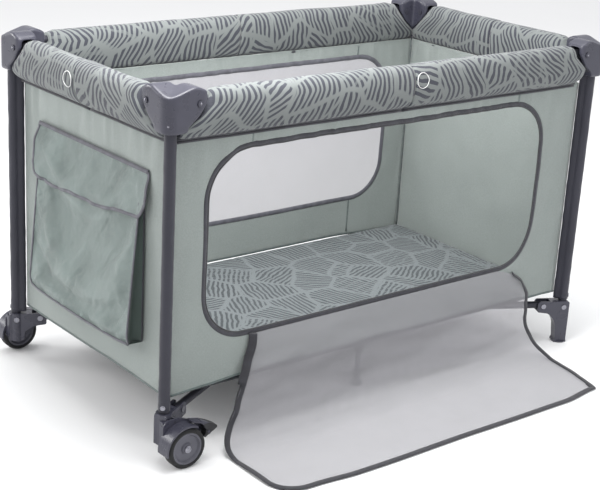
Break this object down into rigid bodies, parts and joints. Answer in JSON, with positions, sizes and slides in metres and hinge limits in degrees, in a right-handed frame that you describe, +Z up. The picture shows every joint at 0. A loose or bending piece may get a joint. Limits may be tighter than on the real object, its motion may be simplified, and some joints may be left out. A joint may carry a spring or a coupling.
{
  "type": "playpen",
  "caption": "Folding travel cot and playpen with padded rails, fabric walls, a mesh side door, a mattress and wheels at one end.",
  "frame": {"origin": "on the floor under the middle of the outline, which the lowered door stretches forward, so it lies 101 mm in front of the middle of the posts", "axes": "+X along the length, away from the wheels; +Y from the door side to the back; +Z up"},
  "size_m": [1.2765, 0.9578, 0.79],
  "materials": {
    "steel_tube": "satin powder coat",
    "grey_plastic": "fine grain",
    "dark_plastic": "fine grain",
    "button_plastic": "smooth",
    "wheel_plastic": "smooth",
    "lever_plastic": "smooth",
    "tyre_rubber": "matt",
    "print_fabric": "printed polyester over padding",
    "mattress_fabric": "printed polyester over board and padding",
    "floor_fabric": "coated polyester",
    "mesh_fabric": "open knit mesh",
    "plain_fabric": "woven polyester"
  },
  "bodies": {
    "leg_front_left": {"post_front_left": "steel_tube", "cap_front_left": "grey_plastic", "caster_fork_front_left": "grey_plastic", "wall_front": "plain_fabric", "wall_left": "plain_fabric", "pocket": "plain_fabric", "floor_sheet": "floor_fabric"},
    "leg_front_right": {"post_front_right": "steel_tube", "cap_front_right": "grey_plastic", "foot_front_right": "grey_plastic", "wall_right": "plain_fabric"},
    "leg_back_left": {"post_back_left": "steel_tube", "cap_back_left": "grey_plastic", "caster_fork_back_left": "grey_plastic", "wall_back": "plain_fabric", "window_back": "mesh_fabric"},
    "leg_back_right": {"post_back_right": "steel_tube", "cap_back_right": "grey_plastic", "foot_back_right": "grey_plastic"},
    "hub": {"hub": "dark_plastic"},
    "mattress": {"mattress": "mattress_fabric"},
    "door_upper": {"door_upper": "mesh_fabric"},
    "door_lower": {"door_lower": "mesh_fabric"},
    "pocket_flap": {"pocket_flap": "plain_fabric"},
    "rail_front_left": {"rail_front_left": "steel_tube", "cover_front_left": "print_fabric"},
    "rail_front_right": {"rail_front_right": "steel_tube", "cover_front_right": "print_fabric"},
    "rail_back_left": {"rail_back_left": "steel_tube", "cover_back_left": "print_fabric"},
    "rail_back_right": {"rail_back_right": "steel_tube", "cover_back_right": "print_fabric"},
    "rail_left_front": {"rail_left_front": "steel_tube", "cover_left_front": "print_fabric"},
    "rail_left_back": {"rail_left_back": "steel_tube", "cover_left_back": "print_fabric"},
    "rail_right_front": {"rail_right_front": "steel_tube", "cover_right_front": "print_fabric"},
    "rail_right_back": {"rail_right_back": "steel_tube", "cover_right_back": "print_fabric"},
    "latch_front": {"latch_front": "dark_plastic"},
    "button_front": {"latch_button_front": "button_plastic"},
    "latch_back": {"latch_back": "dark_plastic"},
    "button_back": {"latch_button_back": "button_plastic"},
    "latch_left": {"latch_left": "dark_plastic"},
    "button_left": {"latch_button_left": "button_plastic"},
    "latch_right": {"latch_right": "dark_plastic"},
    "button_right": {"latch_button_right": "button_plastic"},
    "arm_front_left": {"base_arm_front_left": "steel_tube"},
    "arm_front_right": {"base_arm_front_right": "steel_tube"},
    "arm_back_left": {"base_arm_back_left": "steel_tube"},
    "arm_back_right": {"base_arm_back_right": "steel_tube"},
    "mid_leg_front": {"mid_leg_front": "steel_tube"},
    "mid_leg_back": {"mid_leg_back": "steel_tube"},
    "wheel_front_left": {"wheel_disc_front_left": "wheel_plastic", "tyre_front_left": "tyre_rubber"},
    "brake_front_left": {"brake_lever_front_left": "lever_plastic"},
    "wheel_back_left": {"wheel_disc_back_left": "wheel_plastic", "tyre_back_left": "tyre_rubber"},
    "brake_back_left": {"brake_lever_back_left": "lever_plastic"}
  },
  "joints": [
    {"name": "fold", "type": "hinge", "parent": "leg_front_left", "child": "arm_front_left", "pos_m": [-0.56121, -0.19111, 0.1], "axis": [0.4617, -0.887, 0], "range_deg": [0, 85], "deforming": ["wall_front", "wall_back", "wall_left", "wall_right", "window_back", "floor_sheet", "mattress", "pocket", "pocket_flap", "door_upper", "door_lower", "cover_front_left", "cover_front_right", "cover_back_left", "cover_back_right", "cover_left_front", "cover_left_back", "cover_right_front", "cover_right_back"]},
    {"name": "fold_hub", "type": "hinge", "parent": "arm_front_left", "child": "hub", "pos_m": [-0.07621, 0.06133, 0.1], "axis": [0.4617, -0.887, 0], "range_deg": [-85, 0]},
    {"name": "fold_arm_front_right", "type": "hinge", "parent": "hub", "child": "arm_front_right", "pos_m": [0.07621, 0.06133, 0.1], "axis": [0.4617, 0.887, 0], "range_deg": [0, 85]},
    {"name": "fold_leg_front_right", "type": "hinge", "parent": "arm_front_right", "child": "leg_front_right", "pos_m": [0.56121, -0.19111, 0.1], "axis": [0.4617, 0.887, 0], "range_deg": [-85, 0]},
    {"name": "fold_arm_back_left", "type": "hinge", "parent": "hub", "child": "arm_back_left", "pos_m": [-0.07621, 0.14067, 0.1], "axis": [-0.4617, -0.887, 0], "range_deg": [0, 85]},
    {"name": "fold_leg_back_left", "type": "hinge", "parent": "arm_back_left", "child": "leg_back_left", "pos_m": [-0.56121, 0.39311, 0.1], "axis": [-0.4617, -0.887, 0], "range_deg": [-85, 0]},
    {"name": "fold_arm_back_right", "type": "hinge", "parent": "hub", "child": "arm_back_right", "pos_m": [0.07621, 0.14067, 0.1], "axis": [-0.4617, 0.887, 0], "range_deg": [0, 85]},
    {"name": "fold_leg_back_right", "type": "hinge", "parent": "arm_back_right", "child": "leg_back_right", "pos_m": [0.56121, 0.39311, 0.1], "axis": [-0.4617, 0.887, 0], "range_deg": [-85, 0]},
    {"name": "fold_mid_leg_front", "type": "hinge", "parent": "hub", "child": "mid_leg_front", "pos_m": [-0.016, 0.01508, 0.1], "axis": [1, 0, 0], "range_deg": [0, 85]},
    {"name": "fold_mid_leg_back", "type": "hinge", "parent": "hub", "child": "mid_leg_back", "pos_m": [0.016, 0.18692, 0.1], "axis": [-1, 0, 0], "range_deg": [0, 85]},
    {"name": "fold_rail_front_left", "type": "hinge", "parent": "leg_front_left", "child": "rail_front_left", "pos_m": [-0.56, -0.2165, 0.757], "axis": [0, 1, 0], "range_deg": [0, 85]},
    {"name": "fold_latch_front", "type": "hinge", "parent": "rail_front_left", "child": "latch_front", "pos_m": [-0.075, -0.2165, 0.757], "axis": [0, 1, 0], "range_deg": [-85, 0]},
    {"name": "fold_rail_front_right", "type": "hinge", "parent": "leg_front_right", "child": "rail_front_right", "pos_m": [0.56, -0.2165, 0.757], "axis": [0, 1, 0], "range_deg": [-85, 0]},
    {"name": "fold_rail_left_front", "type": "hinge", "parent": "leg_front_left", "child": "rail_left_front", "pos_m": [-0.61, -0.1665, 0.757], "axis": [-1, 0, 0], "range_deg": [0, 85]},
    {"name": "fold_latch_left", "type": "hinge", "parent": "rail_left_front", "child": "latch_left", "pos_m": [-0.61, 0.08594, 0.757], "axis": [-1, 0, 0], "range_deg": [-85, 0]},
    {"name": "fold_rail_left_back", "type": "hinge", "parent": "leg_back_left", "child": "rail_left_back", "pos_m": [-0.61, 0.3685, 0.757], "axis": [-1, 0, 0], "range_deg": [-85, 0]},
    {"name": "fold_rail_back_left", "type": "hinge", "parent": "leg_back_left", "child": "rail_back_left", "pos_m": [-0.56, 0.4185, 0.757], "axis": [0, 1, 0], "range_deg": [0, 85]},
    {"name": "fold_latch_back", "type": "hinge", "parent": "rail_back_left", "child": "latch_back", "pos_m": [-0.075, 0.4185, 0.757], "axis": [0, 1, 0], "range_deg": [-85, 0]},
    {"name": "fold_rail_back_right", "type": "hinge", "parent": "leg_back_right", "child": "rail_back_right", "pos_m": [0.56, 0.4185, 0.757], "axis": [0, 1, 0], "range_deg": [-85, 0]},
    {"name": "fold_rail_right_front", "type": "hinge", "parent": "leg_front_right", "child": "rail_right_front", "pos_m": [0.61, -0.1665, 0.757], "axis": [-1, 0, 0], "range_deg": [0, 85]},
    {"name": "fold_latch_right", "type": "hinge", "parent": "rail_right_front", "child": "latch_right", "pos_m": [0.61, 0.08594, 0.757], "axis": [-1, 0, 0], "range_deg": [-85, 0]},
    {"name": "fold_rail_right_back", "type": "hinge", "parent": "leg_back_right", "child": "rail_right_back", "pos_m": [0.61, 0.3685, 0.757], "axis": [-1, 0, 0], "range_deg": [-85, 0]},
    {"name": "mattress_lift", "type": "slide", "parent": "leg_front_left", "child": "mattress", "axis": [0, 0, 1], "range_m": [0, 0.96]},
    {"name": "latch_press_front", "type": "slide", "parent": "latch_front", "child": "button_front", "axis": [0, 0, 1], "range_m": [0, 0.006], "stiffness_N_per_m": 400, "springref_m": -0.002},
    {"name": "latch_press_back", "type": "slide", "parent": "latch_back", "child": "button_back", "axis": [0, 0, 1], "range_m": [0, 0.006], "stiffness_N_per_m": 400, "springref_m": -0.002},
    {"name": "latch_press_left", "type": "slide", "parent": "latch_left", "child": "button_left", "axis": [0, 0, 1], "range_m": [0, 0.006], "stiffness_N_per_m": 400, "springref_m": -0.002},
    {"name": "latch_press_right", "type": "slide", "parent": "latch_right", "child": "button_right", "axis": [0, 0, 1], "range_m": [0, 0.006], "stiffness_N_per_m": 400, "springref_m": -0.002},
    {"name": "wheel_spin_front_left", "type": "hinge", "parent": "leg_front_left", "child": "wheel_front_left", "pos_m": [-0.585, -0.257, 0.044], "axis": [0, 1, 0], "continuous": true},
    {"name": "brake_press_front_left", "type": "hinge", "parent": "leg_front_left", "child": "brake_front_left", "pos_m": [-0.53, -0.255, 0.0675], "axis": [0, 1, 0], "range_deg": [0, 18]},
    {"name": "wheel_spin_back_left", "type": "hinge", "parent": "leg_back_left", "child": "wheel_back_left", "pos_m": [-0.585, 0.459, 0.044], "axis": [0, 1, 0], "continuous": true},
    {"name": "brake_press_back_left", "type": "hinge", "parent": "leg_back_left", "child": "brake_back_left", "pos_m": [-0.53, 0.457, 0.0675], "axis": [0, 1, 0], "range_deg": [0, 18]},
    {"name": "door_raise", "type": "hinge", "parent": "leg_front_left", "child": "door_upper", "pos_m": [0, -0.2035, 0.232], "axis": [-1, 0, 0], "range_deg": [0, 156]},
    {"name": "door_unroll", "type": "hinge", "parent": "door_upper", "child": "door_lower", "pos_m": [0, -0.30613, 0.0015], "axis": [1, 0, 0], "range_deg": [0, 66.01]},
    {"name": "pocket_flap_lift", "type": "hinge", "parent": "leg_front_left", "child": "pocket_flap", "pos_m": [-0.595, 0.101, 0.5955], "axis": [0, 1, 0], "range_deg": [0, 105]}
  ],
  "couplings": [
    {"joint": "fold_hub", "follows": "fold", "ratio": -1},
    {"joint": "fold_arm_front_right", "follows": "fold", "ratio": 1},
    {"joint": "fold_leg_front_right", "follows": "fold", "ratio": -1},
    {"joint": "fold_arm_back_left", "follows": "fold", "ratio": 1},
    {"joint": "fold_leg_back_left", "follows": "fold", "ratio": -1},
    {"joint": "fold_arm_back_right", "follows": "fold", "ratio": 1},
    {"joint": "fold_leg_back_right", "follows": "fold", "ratio": -1},
    {"joint": "fold_mid_leg_front", "follows": "fold", "ratio": 1},
    {"joint": "fold_mid_leg_back", "follows": "fold", "ratio": 1},
    {"joint": "fold_rail_front_left", "follows": "fold", "ratio": 1},
    {"joint": "fold_latch_front", "follows": "fold", "ratio": -1},
    {"joint": "fold_rail_front_right", "follows": "fold", "ratio": -1},
    {"joint": "fold_rail_left_front", "follows": "fold", "ratio": 1},
    {"joint": "fold_latch_left", "follows": "fold", "ratio": -1},
    {"joint": "fold_rail_left_back", "follows": "fold", "ratio": -1},
    {"joint": "fold_rail_back_left", "follows": "fold", "ratio": 1},
    {"joint": "fold_latch_back", "follows": "fold", "ratio": -1},
    {"joint": "fold_rail_back_right", "follows": "fold", "ratio": -1},
    {"joint": "fold_rail_right_front", "follows": "fold", "ratio": 1},
    {"joint": "fold_latch_right", "follows": "fold", "ratio": -1},
    {"joint": "fold_rail_right_back", "follows": "fold", "ratio": -1},
    {"joint": "mattress_lift", "follows": "fold", "m_per_rad": 0.64},
    {"joint": "door_unroll", "follows": "door_raise", "ratio": 0.42308}
  ]
}
